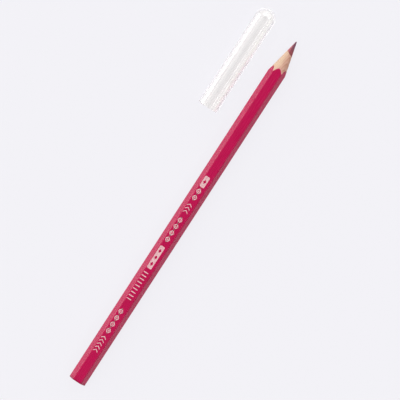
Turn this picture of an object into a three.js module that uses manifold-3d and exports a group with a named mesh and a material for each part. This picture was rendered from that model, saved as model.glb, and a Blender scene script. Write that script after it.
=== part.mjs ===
// Transfer pencil with its clear push-on cap taken off and lying beside it.
// Units are millimetres and +Z is up. The pencil lies on one of its six flats,
// its butt towards -X and its point towards +X. The cap lies on its +Y side with
// its mouth towards -X. The origin is on the table, under mid-length of the pencil.
import * as THREE from "three";
import { mergeVertices } from "three/addons/utils/BufferGeometryUtils.js";
import Module from "manifold-3d";

const wasm = await Module();
wasm.setup();

// Barrel: a hexagonal bar of wood under a skin of lacquer, cut square at the butt
const pencilLength = 176;
const acrossFlats = 7;
const cornerRadius = 0.7;
const lacquerThickness = 0.12;
const buttBevel = 0.2;

// Lead, which lies a little off the middle of the casing, and the film of glue round it
const leadDiameter = 3.2;
const leadOffset = -0.12;
const glueFilm = 0.04;

// Sharpened end: a cone that leans a little, so that its rounded point lies off the axis
// on one side, and its wide end on the other
const coneHalfAngle = THREE.MathUtils.degToRad(12.9);
const pointRadius = 0.28;
const pointOffset = 0.2;
const coneBaseOffset = -0.12;

// Cap: a moulded cup whose bore narrows inwards, so that it grips the barrel's corners
const capLength = 50.7;
const capWall = 0.7;
const capEndWall = 0.9;
const capMouthClearance = 0.08;
const capBoreTaper = 0.15;
const capRimRadius = 0.2;

// How the cap lies beside the pencil
const capGap = 8.6;
const capMouthBehindPoint = 45.1;

// Facets round a full turn, and steps along a rounded outline
const rodFacets = 64;
const capFacets = 64;
const coneFacets = 96;
const cornerSteps = 3;
const pointSteps = 4;
const domeSteps = 8;
const rimSteps = 2;

// How far tools and uncut stock run past what they cut
const stockMargin = 1;
const cutterMargin = 3;

// Places that follow from the sizes above
const axisHeight = acrossFlats / 2;
const cornerCentre = (acrossFlats - 2 * cornerRadius) / Math.sqrt(3);
const cornerReach = cornerCentre + cornerRadius;
const buttX = -pencilLength / 2;
const pointX = pencilLength / 2;
const stockEndX = pointX + stockMargin;
const boreRadius = cornerReach + capMouthClearance;
const capRadius = boreRadius + capWall;
const capY = cornerReach + capGap + capRadius;

// A closed solid from a three.js geometry.
function solidFrom(geometry) {
  const bare = geometry.clone();
  bare.deleteAttribute("normal");
  bare.deleteAttribute("uv");
  const merged = mergeVertices(bare, 1e-4);
  return new wasm.Manifold(
    new wasm.Mesh({
      numProp: 3,
      vertProperties: merged.attributes.position.array,
      triVerts: new Uint32Array(merged.index.array),
    }),
  );
}

// A three.js geometry with flat faces from a closed solid.
function geometryFrom(solid) {
  const mesh = solid.getMesh();
  const geometry = new THREE.BufferGeometry();
  geometry.setAttribute("position", new THREE.BufferAttribute(mesh.vertProperties, 3));
  geometry.setIndex(new THREE.BufferAttribute(mesh.triVerts, 1));
  const flat = geometry.toNonIndexed();
  flat.computeVertexNormals();
  return flat;
}

// A closed profile of [x, radius] points, turned about the X axis.
function turnAboutX(profile, facets) {
  const points = profile.map(([x, radius]) => new THREE.Vector2(radius, x));
  return new THREE.LatheGeometry(points, facets).rotateZ(-Math.PI / 2);
}

// Points [x, radius] along an arc, both of its ends included.
function arcPoints(centreX, centreRadius, radius, fromAngle, toAngle, steps) {
  return Array.from({ length: steps + 1 }, (_, step) => {
    const angle = fromAngle + ((toAngle - fromAngle) * step) / steps;
    return [centreX + radius * Math.cos(angle), centreRadius + radius * Math.sin(angle)];
  });
}

// The barrel's outline, drawn inwards by an inset: a hexagon with a flat at top and
// bottom, and with round corners that keep their centres.
function barrelOutline(inset) {
  const shape = new THREE.Shape();
  for (let corner = 0; corner < 6; corner++) {
    const angle = (corner * Math.PI) / 3;
    const y = cornerCentre * Math.cos(angle);
    const z = cornerCentre * Math.sin(angle);
    shape.absarc(y, z, cornerRadius - inset, angle - Math.PI / 6, angle + Math.PI / 6, false);
  }
  return shape.closePath();
}

// A bar of that outline along the pencil's axis. A bevel takes its end edges off.
function barrelBar(inset, startX, endX, bevel = 0) {
  const geometry = new THREE.ExtrudeGeometry(barrelOutline(inset), {
    depth: endX - startX - 2 * bevel,
    curveSegments: cornerSteps,
    bevelEnabled: bevel > 0,
    bevelThickness: bevel,
    bevelSize: bevel,
    bevelOffset: -bevel,
    bevelSegments: 1,
  });
  geometry.rotateX(Math.PI / 2).rotateZ(Math.PI / 2);
  return solidFrom(geometry.translate(startX + bevel, 0, axisHeight));
}

// A round rod along the pencil, where the lead lies.
function roundRod(radius, startX, endX) {
  const profile = [[startX, 0], [startX, radius], [endX, radius], [endX, 0]];
  return solidFrom(turnAboutX(profile, rodFacets).translate(0, leadOffset, axisHeight));
}

// What the sharpener takes away: all that lies outside a cone with a rounded point.
function sharpenerCut() {
  const roundPoint = arcPoints(
    -pointRadius, 0, pointRadius, 0, Math.PI / 2 - coneHalfAngle, pointSteps,
  );
  const [tangentX, tangentRadius] = roundPoint.at(-1);
  const outerRadius = cornerReach + pointOffset + cutterMargin;
  const profile = [
    ...roundPoint,
    [tangentX - (outerRadius - tangentRadius) / Math.tan(coneHalfAngle), outerRadius],
    [cutterMargin, outerRadius],
    [cutterMargin, 0],
  ];
  const coneLength = axisHeight / Math.tan(coneHalfAngle);
  const lean = Math.atan2(pointOffset - coneBaseOffset, coneLength);
  const cutter = turnAboutX(profile, coneFacets).rotateZ(lean);
  return solidFrom(cutter.translate(pointX, pointOffset, axisHeight));
}

// The space on one side of the glue line between the slats: 1 is above it, -1 below it.
function slatSide(side) {
  const box = new THREE.BoxGeometry(2 * pencilLength, 2 * acrossFlats, acrossFlats);
  return solidFrom(box.translate(0, 0, axisHeight + (side * acrossFlats) / 2));
}

const bevelledStock = barrelBar(0, buttX, stockEndX + buttBevel, buttBevel);
const sharpener = sharpenerCut();

// The lead, which runs the whole length and forms the point.
function leadCore() {
  return roundRod(leadDiameter / 2, buttX, stockEndX).subtract(sharpener);
}

// One half of the wooden casing, with half of the lead's groove in its flat face.
function slat(side) {
  const groove = roundRod(
    leadDiameter / 2 + glueFilm, buttX - cutterMargin, stockEndX + cutterMargin,
  );
  return barrelBar(lacquerThickness, buttX, stockEndX)
    .intersect(slatSide(side))
    .intersect(bevelledStock)
    .subtract(groove)
    .subtract(sharpener);
}

// The lacquer on all six flats, with the scalloped edge that sharpening leaves.
function lacquerCoat() {
  const casing = barrelBar(lacquerThickness, buttX - cutterMargin, stockEndX + cutterMargin);
  return bevelledStock.subtract(casing).subtract(sharpener);
}

// The cap, with its mouth at X = 0: a bore with a domed end, a rounded rim and a
// domed outside.
function clearCap() {
  const boreEndRadius = boreRadius - capBoreTaper;
  const boreDomeX = capLength - capEndWall - boreEndRadius;
  const domeX = capLength - capRadius;
  const quarter = Math.PI / 2;
  const boreDome = arcPoints(boreDomeX, 0, boreEndRadius, 0, quarter, domeSteps);
  const innerRim = arcPoints(
    capRimRadius, boreRadius + capRimRadius, capRimRadius, -quarter, -2 * quarter, rimSteps,
  );
  const outerRim = arcPoints(
    capRimRadius, capRadius - capRimRadius, capRimRadius, 2 * quarter, quarter, rimSteps,
  );
  const dome = arcPoints(domeX, 0, capRadius, quarter, 0, domeSteps);
  dome.at(-1)[1] = 0;
  return solidFrom(turnAboutX([...boreDome, ...innerRim, ...outerRim, ...dome], capFacets));
}

function finish(color, roughness, more = {}) {
  return new THREE.MeshStandardMaterial({ color, roughness, metalness: 0, ...more });
}

const bareWood = finish(0xe3c39b, 0.75);
const leadPaste = finish(0x7b2440, 0.55);
const crimsonLacquer = finish(0xbb1850, 0.25);
const clearPlastic = finish(0xf4f6f8, 0.08, { transparent: true, opacity: 0.3 });

function piece(name, solid, material) {
  const mesh = new THREE.Mesh(geometryFrom(solid), material);
  mesh.name = name;
  return mesh;
}

const pencil = new THREE.Group();
pencil.add(
  piece("lead_core", leadCore(), leadPaste),
  piece("upper_slat", slat(1), bareWood),
  piece("lower_slat", slat(-1), bareWood),
  piece("lacquer_coat", lacquerCoat(), crimsonLacquer),
);

const cap = piece("clear_cap", clearCap(), clearPlastic);
cap.position.set(pointX - capMouthBehindPoint, capY, capRadius);

const transferPencil = new THREE.Group();
transferPencil.add(pencil, cap);

export default transferPencil;
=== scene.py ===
import math

import bmesh
import bpy
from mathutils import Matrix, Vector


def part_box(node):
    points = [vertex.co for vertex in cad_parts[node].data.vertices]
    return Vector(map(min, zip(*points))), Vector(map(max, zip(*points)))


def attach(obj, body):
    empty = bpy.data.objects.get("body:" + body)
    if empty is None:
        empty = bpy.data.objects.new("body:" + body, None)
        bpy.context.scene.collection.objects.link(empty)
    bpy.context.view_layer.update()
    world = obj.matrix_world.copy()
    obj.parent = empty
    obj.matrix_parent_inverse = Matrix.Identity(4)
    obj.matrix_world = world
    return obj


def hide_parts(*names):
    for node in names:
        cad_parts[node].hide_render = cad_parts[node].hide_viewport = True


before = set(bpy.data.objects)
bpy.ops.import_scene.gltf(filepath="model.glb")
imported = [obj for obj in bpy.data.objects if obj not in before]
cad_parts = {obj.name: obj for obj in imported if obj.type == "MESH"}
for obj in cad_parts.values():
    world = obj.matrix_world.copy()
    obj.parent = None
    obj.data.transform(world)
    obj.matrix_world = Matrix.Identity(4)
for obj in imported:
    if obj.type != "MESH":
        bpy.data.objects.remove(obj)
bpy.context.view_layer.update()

# The lead. One stick of waxy transfer pigment, pressed and dried, that runs from the butt to the
# point. The sharpener turned its end to a cone that leans a little, and use has blunted the tip.
mm = 0.001
lead_low, lead_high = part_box("lead_core")
coat_low, coat_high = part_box("lacquer_coat")
butt_x = lead_low.x
point_x = lead_high.x
axis_z = (coat_low.z + coat_high.z) / 2
flat_reach = (coat_high.z - coat_low.z) / 2
lead_radius = (lead_high.y - lead_low.y) / 2
lead_y = (lead_low.y + lead_high.y) / 2
cone_half_angle = math.radians(12.9)
point_radius = 0.28 * mm
point_offset = 0.2 * mm
cone_base_offset = -0.12 * mm
blade_waver = 0.05 * mm
waver_length = 1.6 * mm
worn_length_mm = 5.5
blunted_length_mm = 2.0
rod_facets = 128
cone_facets = 144
cone_rings = 90
tip_steps = 5
soft_degrees = 30
overrun = 2 * mm
merge_distance = 1e-7


def deselect_all():
    bpy.ops.object.select_all(action="DESELECT")


def name_piece(name):
    """Names the object that was just added and puts its place into its mesh."""
    piece = bpy.context.object
    piece.name = name
    piece.data.name = name
    bpy.ops.object.transform_apply(location=True, rotation=True, scale=True)
    return piece


def turn(name, profile, facets, axis_y=0.0, axis_height=axis_z):
    """Turns rings, given as (x, radius), about an axis along X. A last radius of 0 closes to
    a pole."""
    (x, radius), *rings = profile
    deselect_all()
    bpy.ops.mesh.primitive_circle_add(
        vertices=facets, radius=radius, fill_type="NGON",
        location=(x, axis_y, axis_height), rotation=(0, math.pi / 2, 0),
    )
    piece = name_piece(name)
    bpy.ops.object.mode_set(mode="EDIT")
    bpy.ops.mesh.select_all(action="SELECT")
    for next_x, next_radius in rings:
        bpy.ops.mesh.extrude_region_move(TRANSFORM_OT_translate={"value": (next_x - x, 0, 0)})
        growth = next_radius / radius
        bpy.ops.transform.resize(
            value=(1, growth, growth), center_override=(next_x, axis_y, axis_height)
        )
        x, radius = next_x, next_radius
    bpy.ops.mesh.select_all(action="SELECT")
    bpy.ops.mesh.remove_doubles(threshold=merge_distance)
    bpy.ops.mesh.normals_make_consistent(inside=False)
    bpy.ops.object.mode_set(mode="OBJECT")
    return piece


def arc(centre_x, centre_radius, radius, start_degrees, end_degrees, steps):
    """Rings (x, radius) along an arc, both ends included."""
    turn_by = (end_degrees - start_degrees) / steps
    angles = [math.radians(start_degrees + turn_by * step) for step in range(steps + 1)]
    return [
        (centre_x + radius * math.cos(angle), centre_radius + radius * math.sin(angle))
        for angle in angles
    ]


def apply_modifier(piece, kind, **settings):
    """Adds one modifier to a piece and applies it."""
    deselect_all()
    piece.select_set(True)
    bpy.context.view_layer.objects.active = piece
    modifier = piece.modifiers.new(kind.lower(), kind)
    for setting, value in settings.items():
        setattr(modifier, setting, value)
    bpy.ops.object.modifier_apply(modifier=modifier.name)


def cut(piece, cutter):
    """Takes the cutter's space out of a piece and leaves the cutter as it was."""
    apply_modifier(piece, "BOOLEAN", operation="DIFFERENCE", solver="EXACT", object=cutter)


def discard(piece):
    bpy.data.objects.remove(piece, do_unlink=True)


def smooth(piece, degrees=soft_degrees):
    """Smooths what is rounder than an angle. The large faces keep their own direction."""
    deselect_all()
    piece.select_set(True)
    bpy.context.view_layer.objects.active = piece
    bpy.ops.object.shade_smooth_by_angle(angle=math.radians(degrees))
    apply_modifier(piece, "WEIGHTED_NORMAL", keep_sharp=True)


def sharpener_bore():
    """The inside of the sharpener with its blade's unevenness: a block round a conical hollow."""
    block_radius = 8 * mm
    hollow_radius = 6 * mm
    tip_angle = 90 - math.degrees(cone_half_angle)
    tip = arc(point_x - point_radius, 0, point_radius, tip_angle, 0, tip_steps)
    tangent_x, tangent_radius = tip[0]
    rim_x = tangent_x - (hollow_radius - tangent_radius) / math.tan(cone_half_angle)
    cone = [
        (
            rim_x + (tangent_x - rim_x) * ring / cone_rings,
            hollow_radius + (tangent_radius - hollow_radius) * ring / cone_rings,
        )
        for ring in range(cone_rings)
    ]
    tip[-1] = (point_x, 0)
    outside = [(point_x + overrun, block_radius), (rim_x, block_radius)]
    bore = turn("sharpener_bore", outside + cone + tip, cone_facets)
    hollow = bore.vertex_groups.new(name="hollow")
    inside = [
        vertex.index for vertex in bore.data.vertices
        if math.hypot(vertex.co.y, vertex.co.z - axis_z) < hollow_radius - merge_distance
    ]
    hollow.add(inside, 1.0, "REPLACE")
    waver = bpy.data.textures.new("blade_waver", "CLOUDS")
    waver.noise_scale = waver_length
    waver.noise_depth = 2
    apply_modifier(
        bore, "DISPLACE", texture=waver, texture_coords="LOCAL", direction="NORMAL",
        vertex_group="hollow", mid_level=0.5, strength=blade_waver,
    )
    cone_length = flat_reach / math.tan(cone_half_angle)
    lean = math.atan2(point_offset - cone_base_offset, cone_length)
    bpy.ops.object.mode_set(mode="EDIT")
    bpy.ops.mesh.select_all(action="SELECT")
    bpy.ops.transform.rotate(value=-lean, orient_axis="Z", center_override=(point_x, 0, axis_z))
    bpy.ops.transform.translate(value=(0, point_offset, 0))
    bpy.ops.object.mode_set(mode="OBJECT")
    return bore


sharpener = sharpener_bore()
lead_ends = [(butt_x, lead_radius), (point_x + overrun / 2, lead_radius)]
lead = turn("pressed_lead", lead_ends, rod_facets, lead_y)
cut(lead, sharpener)
smooth(lead)


def shade(red, green, blue):
    """A colour as seen, each part from 0 to 255, in the linear numbers that a shader takes."""
    def linear(part):
        part /= 255
        return part / 12.92 if part <= 0.04045 else ((part + 0.055) / 1.055) ** 2.4
    return linear(red), linear(green), linear(blue), 1


def new_finish(name):
    """A material with nothing in its node tree."""
    finish = bpy.data.materials.new(name)
    finish.use_nodes = True
    finish.node_tree.nodes.clear()
    return finish


def add_node(finish, kind, inputs, **settings):
    """Adds a node. An input takes a plain value or another node's output."""
    node = finish.node_tree.nodes.new("ShaderNode" + kind)
    for setting, value in settings.items():
        setattr(node, setting, value)
    for socket, value in inputs.items():
        if isinstance(value, bpy.types.NodeSocket):
            finish.node_tree.links.new(value, node.inputs[socket])
        else:
            node.inputs[socket].default_value = value
    return node


def object_place(finish, stretch=(1, 1, 1), shift=(0, 0, 0)):
    """Object coordinates in millimetres, stretched and shifted to lay a pattern."""
    place = add_node(finish, "TexCoord", {})
    scale = tuple(1000 / part for part in stretch)
    mapping = add_node(
        finish, "Mapping",
        {"Vector": place.outputs["Object"], "Scale": scale, "Location": shift},
    )
    return mapping.outputs["Vector"]


def place_along(finish, axis):
    """How far a point lies along one axis, in millimetres."""
    return add_node(finish, "SeparateXYZ", {"Vector": object_place(finish)}).outputs[axis]


def noise(finish, vector, scale, detail, roughness=0.5):
    made = add_node(
        finish, "TexNoise",
        {"Vector": vector, "Scale": scale, "Detail": detail, "Roughness": roughness},
    )
    return made.outputs["Fac"]


def ramp(finish, factor, stops):
    """A colour ramp through (place, colour) stops."""
    node = add_node(finish, "ValToRGB", {"Fac": factor})
    band = node.color_ramp
    while len(band.elements) < len(stops):
        band.elements.new(0.5)
    for element, (place, colour) in zip(band.elements, stops):
        element.position = place
        element.color = colour
    return node.outputs["Color"]


def level(finish, factor, low_in, high_in, low_out, high_out):
    """Stretches a factor from one range to another and keeps it there."""
    node = add_node(
        finish, "MapRange",
        {0: factor, 1: low_in, 2: high_in, 3: low_out, 4: high_out},
    )
    return node.outputs[0]


def blend_colours(finish, factor, first, second, how="MIX"):
    node = add_node(
        finish, "Mix", {0: factor, 6: first, 7: second}, data_type="RGBA", blend_type=how
    )
    return node.outputs[2]


def add_bump(finish, height, strength, depth, base=None):
    """A bump of that depth. A base is another bump that it lies on."""
    inputs = {"Height": height, "Strength": strength, "Distance": depth}
    if base is not None:
        inputs["Normal"] = base
    return add_node(finish, "Bump", inputs).outputs["Normal"]


def surface(finish, inputs):
    """Ends a material in one Principled shader. Returns the shader and the output node."""
    shader = add_node(finish, "BsdfPrincipled", inputs)
    output = add_node(finish, "OutputMaterial", {"Surface": shader.outputs["BSDF"]})
    return shader, output


def lead_finish():
    """Waxy wine-red pigment, scored round by the blade, with paler crumbs on the ridges, a
    painted highlight of lighter red on the side that faces the light, and darkened by use at the
    tip."""
    finish = new_finish("waxy_transfer_lead")
    place = object_place(finish)
    clouds = noise(finish, place, 0.9, 5)
    grit = noise(finish, place, 9.0, 2)
    point_mm = point_x / mm
    worn = level(
        finish, place_along(finish, "X"),
        point_mm - worn_length_mm, point_mm - blunted_length_mm, 0, 1,
    )
    fresh = ramp(finish, clouds, [(0.36, shade(138, 52, 62)), (0.64, shade(170, 78, 82))])
    used = ramp(finish, clouds, [(0.36, shade(98, 46, 74)), (0.64, shade(134, 76, 100))])
    # Painted highlight: the lead turns a lighter red towards +Y, the side the light comes from.
    painted_highlight_side = level(finish, place_along(finish, "Y"), 0.2, 1.1, 0, 0.75)
    body = blend_colours(finish, worn, fresh, used)
    body = blend_colours(finish, painted_highlight_side, body, shade(212, 116, 122))
    crumbs = level(finish, grit, 0.62, 0.72, 0, 0.45)
    colour = blend_colours(finish, crumbs, body, shade(186, 106, 116))
    scoring = noise(finish, object_place(finish, stretch=(0.09, 1.6, 1.6)), 1.0, 2)
    bump = add_bump(finish, scoring, 0.35, 0.03 * mm)
    bump = add_bump(finish, grit, 0.2, 0.03 * mm, bump)
    roughness = level(finish, scoring, 0.3, 0.7, 0.32, 0.5)
    surface(
        finish,
        {"Base Color": colour, "Roughness": roughness, "Normal": bump, "Specular IOR Level": 0.5},
    )
    return finish


lead.data.materials.append(lead_finish())
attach(lead, "pencil")
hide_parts("lead_core")

# The two slats. Basswood planks with half a groove each, glued round the lead, planed to a
# hexagon and cut to a cone by the sharpener, which lays their grain bare.
slat_low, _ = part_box("lower_slat")
lacquer_depth = slat_low.z - coat_low.z
corner_radius = 0.7 * mm
corner_segments = 8
butt_bevel = 0.2 * mm
bevel_segments = 4
glue_line = 0.02 * mm
glue_film = 0.04 * mm
groove_radius = lead_radius + glue_film
half_corner = math.pi / 6


def pick(piece, kind, wanted):
    """In edit mode, selects the verts, edges or faces for which wanted is true, and no others."""
    modes = {"verts": "VERT", "edges": "EDGE", "faces": "FACE"}
    mesh = bmesh.from_edit_mesh(piece.data)
    bpy.ops.mesh.select_mode(type=modes[kind])
    bpy.ops.mesh.select_all(action="DESELECT")
    for element in getattr(mesh, kind):
        if wanted(element):
            element.select_set(True)
    mesh.select_flush_mode()
    bmesh.update_edit_mesh(piece.data)


def barrel_bar(name, inset, start_x, end_x, rim_bevel=0):
    """A hexagonal bar with round corners, drawn in by an inset, with a round edge at the butt."""
    deselect_all()
    bpy.ops.mesh.primitive_cylinder_add(
        vertices=6, radius=(flat_reach - inset) / math.cos(half_corner), depth=end_x - start_x,
        location=((start_x + end_x) / 2, 0, axis_z), rotation=(0, math.pi / 2, 0),
    )
    bar = name_piece(name)
    bpy.ops.object.mode_set(mode="EDIT")
    pick(bar, "edges", lambda edge: abs(edge.verts[0].co.x - edge.verts[1].co.x) > overrun)
    bpy.ops.mesh.bevel(
        offset=(corner_radius - inset) * math.tan(half_corner),
        segments=corner_segments, profile=0.5,
    )
    if rim_bevel:
        butt_limit = start_x + merge_distance
        pick(bar, "edges", lambda edge: all(vert.co.x < butt_limit for vert in edge.verts))
        bpy.ops.mesh.bevel(offset=rim_bevel, segments=bevel_segments, profile=0.5)
    bpy.ops.object.mode_set(mode="OBJECT")
    return bar


def cut_slat(name, side):
    """One slat: 1 for the upper one, -1 for the lower one."""
    rim = butt_bevel - lacquer_depth
    half = barrel_bar(name, lacquer_depth, butt_x, point_x + overrun / 2, rim)
    bpy.ops.object.mode_set(mode="EDIT")
    bpy.ops.mesh.select_all(action="SELECT")
    bpy.ops.mesh.bisect(
        plane_co=(0, 0, axis_z + side * glue_line / 2), plane_no=(0, 0, side),
        clear_inner=True, use_fill=True, threshold=merge_distance,
    )
    bpy.ops.mesh.select_all(action="SELECT")
    bpy.ops.mesh.normals_make_consistent(inside=False)
    bpy.ops.object.mode_set(mode="OBJECT")
    groove_ends = [(butt_x - overrun, groove_radius), (point_x + overrun, groove_radius)]
    groove = turn("groove", groove_ends, rod_facets, lead_y)
    cut(half, groove)
    discard(groove)
    cut(half, sharpener)
    smooth(half)
    return half


def wood_finish(name, heart, tone):
    """Bare basswood: faint rings about a heart that lies outside the slat, fine long fibres, and
    a cream tone with painted shade that turns it browner on the side away from the cap and the
    light."""
    finish = new_finish(name)
    heart_y, heart_z = heart
    log = object_place(finish, stretch=(14, 1, 1), shift=(0, heart_y, heart_z))
    wander = add_node(finish, "TexNoise", {"Vector": log, "Scale": 0.35, "Detail": 2.0})
    bent = add_node(
        finish, "VectorMath", {0: log, 1: wander.outputs["Color"]}, operation="ADD"
    )
    rings = add_node(
        finish, "TexWave",
        {"Vector": bent.outputs["Vector"], "Scale": 0.42, "Distortion": 0.6, "Detail": 2.0},
        wave_type="RINGS", rings_direction="X", wave_profile="SAW",
    ).outputs["Fac"]
    long_place = object_place(finish, stretch=(9, 0.16, 0.16), shift=(0, heart_y, 0))
    fibres = noise(finish, long_place, 1.0, 4)
    pores = noise(finish, object_place(finish, stretch=(1.4, 0.06, 0.06)), 1.0, 1)
    pale, mid, dark = tone
    ringed = ramp(finish, rings, [(0.0, pale), (0.7, mid), (0.95, dark), (1.0, pale)])
    streaked = blend_colours(finish, level(finish, fibres, 0.35, 0.7, 0, 0.5), ringed, dark)
    colour = blend_colours(
        finish, level(finish, pores, 0.62, 0.74, 0, 0.5), streaked, shade(150, 98, 62)
    )
    # Painted shade: the wood turns darker and browner towards -Y, the side away from the light.
    painted_shade_side = level(finish, place_along(finish, "Y"), 1.0, -0.6, 0, 1)
    colour = blend_colours(finish, painted_shade_side, colour, shade(244, 220, 224), "MULTIPLY")
    chatter = noise(finish, object_place(finish, stretch=(0.12, 1.2, 1.2)), 1.0, 2)
    bump = add_bump(finish, fibres, 0.35, 0.05 * mm)
    bump = add_bump(finish, pores, 0.25, 0.03 * mm, bump)
    bump = add_bump(finish, chatter, 0.12, 0.03 * mm, bump)
    roughness = level(finish, fibres, 0.3, 0.7, 0.4, 0.55)
    surface(
        finish,
        {"Base Color": colour, "Roughness": roughness, "Normal": bump, "Specular IOR Level": 0.5},
    )
    return finish


upper_tone = shade(242, 217, 189), shade(234, 200, 169), shade(212, 164, 133)
lower_tone = shade(234, 202, 172), shade(224, 183, 150), shade(201, 149, 117)
slats = [
    ("upper_slat", "upper_casing_slat", 1, (17.0, -23.0), upper_tone),
    ("lower_slat", "lower_casing_slat", -1, (-26.0, 14.0), lower_tone),
]
for node_name, piece_name, side, heart, tone in slats:
    slat = cut_slat(piece_name, side)
    slat.data.materials.append(wood_finish("basswood_" + node_name, heart, tone))
    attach(slat, "pencil")
    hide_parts(node_name)

# The lacquer coat. Several dips of crimson lacquer over the whole casing, glossy, with soft
# corners. The sharpener cut it to a scalloped edge, where the thinning film lets the wood
# shine through.
coat_end_x = coat_high.x + overrun
butt_darkening_mm = 1.1
cut_slope = 0.1
coat = barrel_bar("crimson_lacquer_coat", 0, butt_x, coat_end_x, butt_bevel)
casing_space = barrel_bar("casing_space", lacquer_depth, butt_x - overrun, coat_end_x + overrun)
cut(coat, sharpener)
cut(coat, casing_space)
discard(casing_space)
discard(sharpener)
smooth(coat)


def film_depth(point):
    """How much lacquer is left under a point: 1 at its outside, 0 where the wood starts."""
    y, z = abs(point.y), abs(point.z - axis_z)
    if y * math.sin(half_corner) > z * math.cos(half_corner):
        sixth = math.pi / 3
        y, z = (
            abs(y * math.cos(sixth) + z * math.sin(sixth)),
            abs(z * math.cos(sixth) - y * math.sin(sixth)),
        )
    centre_z = flat_reach - corner_radius
    centre_y = centre_z * math.tan(half_corner)
    if y <= centre_y:
        outside = z - flat_reach
    else:
        outside = math.hypot(y - centre_y, z - centre_z) - corner_radius
    return min(1.0, max(0.0, 1 + outside / lacquer_depth))


film = coat.data.attributes.new("film_depth", "FLOAT", "POINT")
for vertex in coat.data.vertices:
    film.data[vertex.index].value = film_depth(vertex.co)


def lacquer_finish(name, cut_edge):
    """Crimson lacquer with long faint streaks and soft orange peel, and a darker crimson band
    over the first millimetre from the butt."""
    finish = new_finish(name)
    streaks = noise(finish, object_place(finish, stretch=(30, 0.5, 0.5)), 1.0, 3)
    mottle = noise(finish, object_place(finish), 0.16, 3)
    peel = noise(finish, object_place(finish, stretch=(2.2, 1, 1)), 1.1, 2)
    colour = blend_colours(
        finish, level(finish, mottle, 0.35, 0.65, 0, 0.35), shade(194, 8, 79), shade(184, 5, 71)
    )
    colour = blend_colours(
        finish, level(finish, streaks, 0.4, 0.7, 0, 0.25), colour, shade(203, 18, 89)
    )
    butt_mm = butt_x / mm
    # The lacquer turns a darker crimson over the first millimetre from the butt.
    darker_at_butt = level(finish, place_along(finish, "X"), butt_mm, butt_mm + butt_darkening_mm, 0.75, 0)
    colour = blend_colours(finish, darker_at_butt, colour, shade(132, 4, 52))
    if cut_edge:
        depth = add_node(finish, "Attribute", {}, attribute_name="film_depth").outputs["Fac"]
        thin = ramp(
            finish, depth,
            [
                (0.0, shade(240, 192, 178)), (0.5, shade(236, 168, 164)),
                (0.72, shade(214, 92, 112)), (1.0, shade(176, 30, 68)),
            ],
        )
        colour = blend_colours(finish, 0.9, colour, thin)
    scratches = noise(finish, object_place(finish, stretch=(6, 0.12, 0.12)), 1.0, 1)
    bump = add_bump(finish, peel, 0.06, 0.05 * mm)
    bump = add_bump(finish, streaks, 0.08, 0.05 * mm, bump)
    roughness = level(finish, scratches, 0.35, 0.75, 0.22, 0.34)
    surface(
        finish, {"Base Color": colour, "Roughness": roughness, "Normal": bump, "IOR": 1.52}
    )
    return finish


coat.data.materials.append(lacquer_finish("crimson_lacquer", False))
coat.data.materials.append(lacquer_finish("cut_lacquer_edge", True))
for face in coat.data.polygons:
    if face.normal.x > cut_slope:
        face.material_index = 1
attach(coat, "pencil")
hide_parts("lacquer_coat")

# The foil marks. A strip of pale foil, hot pressed into the lacquer of the top flat as a plain
# band of arrowheads, lozenges, bars and tablets, worn thin in places by handling.
foil_height = 0.02 * mm
foil_sink = 0.006 * mm
foil_line = 0.46 * mm
foil_y = 0.5 * mm
foil_z = coat_high.z - foil_sink
mark_height = 2.3 * mm
arrow_pitch = 1.65 * mm
arrow_reach = 0.9 * mm
bar_pitch = 1.7 * mm
lozenge_pitch = 3.3 * mm
lozenge_half_length = 1.6 * mm
lozenge_half_height = 1.2 * mm
lozenge_corner = 0.1 * mm
dot_radius = foil_line * 0.62
tablet_corner = 0.5 * mm
opening_half_length = 1.0 * mm
opening_half_height = mark_height * 0.3


def foil_place(from_butt):
    """A place in the middle of the foil band, that many mm from the butt."""
    return butt_x + from_butt * mm, foil_y, foil_z


def extrude_foil(mark, copies=1, pitch=0, thickness=foil_height):
    """Gives a flat mark its thickness, repeats it along the barrel and leaves edit mode."""
    bpy.ops.mesh.select_all(action="SELECT")
    bpy.ops.mesh.extrude_region_move(TRANSFORM_OT_translate={"value": (0, 0, thickness)})
    bpy.ops.mesh.select_all(action="SELECT")
    bpy.ops.mesh.normals_make_consistent(inside=False)
    for copy in range(copies - 1):
        bpy.ops.mesh.duplicate_move(TRANSFORM_OT_translate={"value": (pitch, 0, 0)})
    bpy.ops.object.mode_set(mode="OBJECT")
    return mark


def flat_outline(name, corners, radius, from_butt):
    """Starts a mark, in edit mode, as a flat polygon that lies on the lacquer."""
    deselect_all()
    bpy.ops.mesh.primitive_circle_add(
        vertices=corners, radius=radius, fill_type="NGON", location=foil_place(from_butt)
    )
    mark = name_piece(name)
    bpy.ops.object.mode_set(mode="EDIT")
    bpy.ops.mesh.select_all(action="SELECT")
    return mark


def lozenges(name, from_butt, copies):
    """A row of hollow lozenges, each with a dot in it."""
    ring = flat_outline(name, 4, lozenge_half_height, from_butt)
    bpy.ops.transform.resize(
        value=(lozenge_half_length / lozenge_half_height, 1, 1),
        center_override=foil_place(from_butt),
    )
    bpy.ops.mesh.bevel(offset=lozenge_corner, segments=2, affect="VERTICES")
    bpy.ops.mesh.select_all(action="SELECT")
    bpy.ops.mesh.inset(thickness=foil_line)
    bpy.ops.mesh.delete(type="FACE")
    extrude_foil(ring, copies, lozenge_pitch)
    dot = flat_outline(name + "_dots", 14, dot_radius, from_butt)
    extrude_foil(dot, copies, lozenge_pitch)
    return [ring, dot]


def bars(name, from_butt, copies):
    """A row of upright bars with round ends."""
    bar = flat_outline(name, 16, foil_line / 2, from_butt)
    for end in (1, -1):
        pick(bar, "verts", lambda vertex: end * (vertex.co.y - foil_y) > merge_distance)
        bpy.ops.transform.translate(value=(0, end * (mark_height - foil_line) / 2, 0))
    return [extrude_foil(bar, copies, bar_pitch)]


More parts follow.
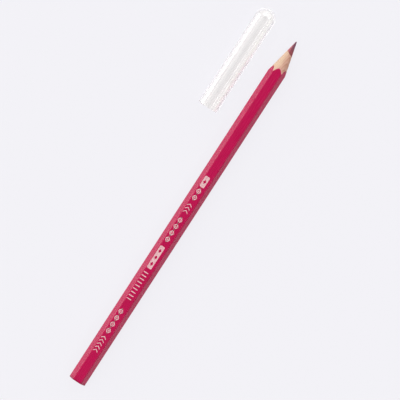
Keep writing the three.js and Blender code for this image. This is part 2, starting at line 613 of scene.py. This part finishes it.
def arrowheads(name, from_butt, copies):
    """A row of bent strokes that point along the barrel."""
    deselect_all()
    bpy.ops.mesh.primitive_grid_add(
        x_subdivisions=1, y_subdivisions=2, size=foil_line, location=foil_place(from_butt)
    )
    mark = name_piece(name)
    bpy.ops.object.mode_set(mode="EDIT")
    bpy.ops.mesh.select_all(action="SELECT")
    bpy.ops.transform.resize(
        value=(1, mark_height / foil_line, 1), center_override=foil_place(from_butt)
    )
    pick(mark, "verts", lambda vertex: abs(vertex.co.y - foil_y) < merge_distance)
    bpy.ops.transform.translate(value=(arrow_reach, 0, 0))
    return [extrude_foil(mark, copies, arrow_pitch)]


def tablet(name, from_butt, length, copies):
    """A solid tablet with round corners and a row of lozenge-shaped openings."""
    middle = foil_place(from_butt)
    plate = flat_outline(name, 4, mark_height / math.sqrt(2), from_butt)
    bpy.ops.transform.rotate(value=math.pi / 4, orient_axis="Z", center_override=middle)
    bpy.ops.transform.resize(value=(length / mark_height, 1, 1), center_override=middle)
    bpy.ops.mesh.bevel(offset=tablet_corner, segments=4, affect="VERTICES")
    extrude_foil(plate)
    first_opening = from_butt - (copies - 1) * lozenge_pitch / 2 / mm
    openings = flat_outline("tablet_openings", 4, opening_half_height, first_opening)
    bpy.ops.transform.resize(
        value=(opening_half_length / opening_half_height, 1, 1),
        center_override=foil_place(first_opening),
    )
    bpy.ops.transform.translate(value=(0, 0, -foil_height))
    extrude_foil(openings, copies, lozenge_pitch, 3 * foil_height)
    cut(plate, openings)
    discard(openings)
    return [plate]


foil_marks = [
    *arrowheads("foil_arrowheads_butt", 15.6, 5),
    *lozenges("foil_lozenges_butt", 26.2, 4),
    *bars("foil_bars", 42.6, 9),
    *tablet("foil_tablet_middle", 64.0, 11.4 * mm, 3),
    *lozenges("foil_lozenges_middle", 73.4, 4),
    *arrowheads("foil_arrowheads_point", 87.3, 3),
    *lozenges("foil_lozenges_point", 94.9, 2),
    *tablet("foil_tablet_point", 103.0, 5.4 * mm, 1),
]


def foil_finish():
    """Pale pink-silver foil. Where it has flaked, the crimson under it shows."""
    finish = new_finish("pressed_foil")
    flakes = noise(finish, object_place(finish), 3.4, 4, 0.65)
    sheen = noise(finish, object_place(finish, stretch=(3, 1, 1)), 0.5, 2)
    silver = level(finish, sheen, 0.35, 0.65, 0, 1)
    pale = blend_colours(finish, silver, shade(246, 208, 208), shade(232, 182, 186))
    worn = level(finish, flakes, 0.54, 0.64, 0, 0.75)
    colour = blend_colours(finish, worn, pale, shade(198, 70, 108))
    bump = add_bump(finish, flakes, 0.2, 0.02 * mm)
    roughness = level(finish, flakes, 0.3, 0.7, 0.28, 0.45)
    surface(finish, {"Base Color": colour, "Normal": bump, "Roughness": roughness})
    return finish


pressed_foil = foil_finish()
for mark in foil_marks:
    smooth(mark)
    mark.data.materials.append(pressed_foil)
    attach(mark, "pencil")

# The cap. One clear moulding with a bore that narrows inwards to grip the barrel's corners, a
# rounded rim and a domed end, where the mark of the mould's gate was trimmed off.
cap_low, cap_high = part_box("clear_cap")
cap_radius = (cap_high.y - cap_low.y) / 2
cap_y = (cap_low.y + cap_high.y) / 2
cap_z = (cap_low.z + cap_high.z) / 2
cap_wall = 0.7 * mm
cap_end_wall = 0.9 * mm
bore_taper = 0.15 * mm
rim_radius = 0.2 * mm
gate_radius = 0.45 * mm
gate_dish = 0.12 * mm
cap_facets = 240
dome_steps = 24
rim_steps = 5
cap_soft_degrees = 40
bore_radius = cap_radius - cap_wall
bore_end_radius = bore_radius - bore_taper
rim_x = cap_low.x + rim_radius
gate_angle = math.degrees(math.asin(gate_radius / cap_radius))
dome = arc(cap_high.x - cap_radius, 0, cap_radius, gate_angle, 90, dome_steps)
gate_x = dome[0][0] - gate_dish
gate = [(gate_x, gate_radius * 0.6), (gate_x, gate_radius * 0.8)]
outer_rim = arc(rim_x, cap_radius - rim_radius, rim_radius, 90, 180, rim_steps)
inner_rim = arc(rim_x, bore_radius + rim_radius, rim_radius, 180, 270, rim_steps)
bore_dome_x = cap_high.x - cap_end_wall - bore_end_radius
bore_dome = arc(bore_dome_x, 0, bore_end_radius, 90, 0, dome_steps)
bore_dome[-1] = (bore_dome_x + bore_end_radius, 0)
cap_profile = gate + dome + outer_rim + inner_rim + bore_dome
cap = turn("clear_push_on_cap", cap_profile, cap_facets, cap_y, cap_z)
smooth(cap, cap_soft_degrees)


def clear_finish():
    """Clear plastic with a polished skin and the finest of rubbing marks. Lamps shine through it,
    and a ray that is caught in its wall gets out."""
    finish = new_finish("clear_cap_plastic")
    rubs = noise(finish, object_place(finish, stretch=(5, 0.2, 0.2)), 1.0, 2)
    waves = noise(finish, object_place(finish, stretch=(6, 2, 2)), 0.5, 1)
    bump = add_bump(finish, waves, 0.05, 0.05 * mm)
    shader, output = surface(
        finish,
        {
            "Base Color": shade(253, 252, 250), "Transmission Weight": 0.94, "IOR": 1.14,
            "Coat Weight": 1.0, "Coat IOR": 1.63, "Coat Roughness": 0.03,
            "Roughness": level(finish, rubs, 0.5, 0.8, 0.02, 0.09), "Normal": bump,
        },
    )
    path = add_node(finish, "LightPath", {})
    caught = add_node(
        finish, "Math", {0: path.outputs["Glossy Depth"], 1: 1.5}, operation="GREATER_THAN"
    )
    let_through = add_node(
        finish, "Math", {0: path.outputs["Is Shadow Ray"], 1: caught.outputs[0]},
        operation="MAXIMUM",
    )
    passing = add_node(finish, "BsdfTransparent", {"Color": shade(250, 250, 252)})
    mix = add_node(
        finish, "MixShader",
        {0: let_through.outputs[0], 1: shader.outputs["BSDF"], 2: passing.outputs["BSDF"]},
    )
    finish.node_tree.links.new(mix.outputs["Shader"], output.inputs["Surface"])
    return finish


cap.data.materials.append(clear_finish())
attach(cap, "cap")
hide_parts("clear_cap")

# The table: a plain white laminate, far larger than the view. What is seen of it, directly or
# through the cap, is mostly its own colour, so that it keeps only a light shadow.
table_size = 8.0
table_colour = shade(244, 243, 248)
own_parts = {"Is Camera Ray": 0.9, "Is Transmission Ray": 0.5, "Is Glossy Ray": 0.2}
deselect_all()
bpy.ops.mesh.primitive_plane_add(size=table_size, location=(0, 0, coat_low.z))
table = name_piece("white_table")
table_finish = new_finish("white_table_top")
lit_top = add_node(
    table_finish, "BsdfPrincipled",
    {"Base Color": table_colour, "Roughness": 0.35, "Coat Weight": 1.0, "Coat Roughness": 0.2},
)
own_colour = add_node(table_finish, "Emission", {"Color": table_colour, "Strength": 1.0})
rays = add_node(table_finish, "LightPath", {})
own_share = 0.0
for ray, part in own_parts.items():
    share = add_node(table_finish, "Math", {0: rays.outputs[ray], 1: part}, operation="MULTIPLY")
    own_share = add_node(
        table_finish, "Math", {0: own_share, 1: share.outputs[0]}, operation="MAXIMUM"
    ).outputs[0]
table_mix = add_node(
    table_finish, "MixShader",
    {0: own_share, 1: lit_top.outputs["BSDF"], 2: own_colour.outputs["Emission"]},
)
add_node(table_finish, "OutputMaterial", {"Surface": table_mix.outputs["Shader"]})
table.data.materials.append(table_finish)

# Light: a grey room, brighter on the cap's side and dark overhead, a low softbox on the cap's
# side, a strip for the long glint in the cap, and a wide softbox beyond each end of the pencil,
# which light the tops without being mirrored in them.
away_from_window = (0, -1, 1)
room_greys = ((0.0, 0.75), (0.45, 0.55), (0.78, 0.55), (0.93, 0.05))
world = bpy.data.worlds.new("studio_room")
bpy.context.scene.world = world
world.use_nodes = True
looking = add_node(world, "TexCoord", {}).outputs["Generated"]
away = add_node(world, "VectorMath", {0: looking, 1: away_from_window}, operation="DOT_PRODUCT")
greys = [(place, (grey, grey, grey, 1)) for place, grey in room_greys]
room = ramp(world, away.outputs["Value"], greys)
sky = world.node_tree.nodes["Background"]
sky.inputs["Strength"].default_value = 1.0
world.node_tree.links.new(room, sky.inputs["Color"])


def softbox(name, place, width, height, radiance):
    """A rectangular lamp that faces the middle of the table. Radiance 1 looks white."""
    lamp = bpy.data.lights.new(name, "AREA")
    lamp.shape = "RECTANGLE"
    lamp.size = width
    lamp.size_y = height
    lamp.energy = radiance * math.pi * width * height
    stand = bpy.data.objects.new(name, lamp)
    bpy.context.scene.collection.objects.link(stand)
    stand.location = place
    x, y, z = place
    stand.rotation_euler = (math.atan2(math.hypot(x, y), z), 0, math.atan2(-x, y) + math.pi)


softbox("low_side_softbox", (0.0, 0.62, 0.14), 0.38, 0.27, 2.5)
softbox("far_side_strip", (0.0, -0.5, 0.6), 1.1, 0.1, 2.8)
softbox("butt_end_softbox", (-0.68, 0.0, 0.54), 1.7, 0.8, 1.07)
softbox("point_end_softbox", (0.68, 0.0, 0.54), 1.7, 0.8, 1.07)

# The camera looks straight down, rolled so that the pencil climbs steeply to the right.
view_centre = (7.32 * mm, -2.03 * mm)
view_width = 174.2 * mm
climb = math.radians(57.03)
camera_distance = 0.9
camera_data = bpy.data.cameras.new("camera_above")
camera_data.lens = camera_data.sensor_width * camera_distance / view_width
camera = bpy.data.objects.new("camera_above", camera_data)
bpy.context.scene.collection.objects.link(camera)
camera.location = (*view_centre, axis_z + camera_distance)
camera.rotation_euler = (0, 0, -climb)
bpy.context.scene.camera = camera
bpy.context.scene.view_settings.view_transform = "Standard"
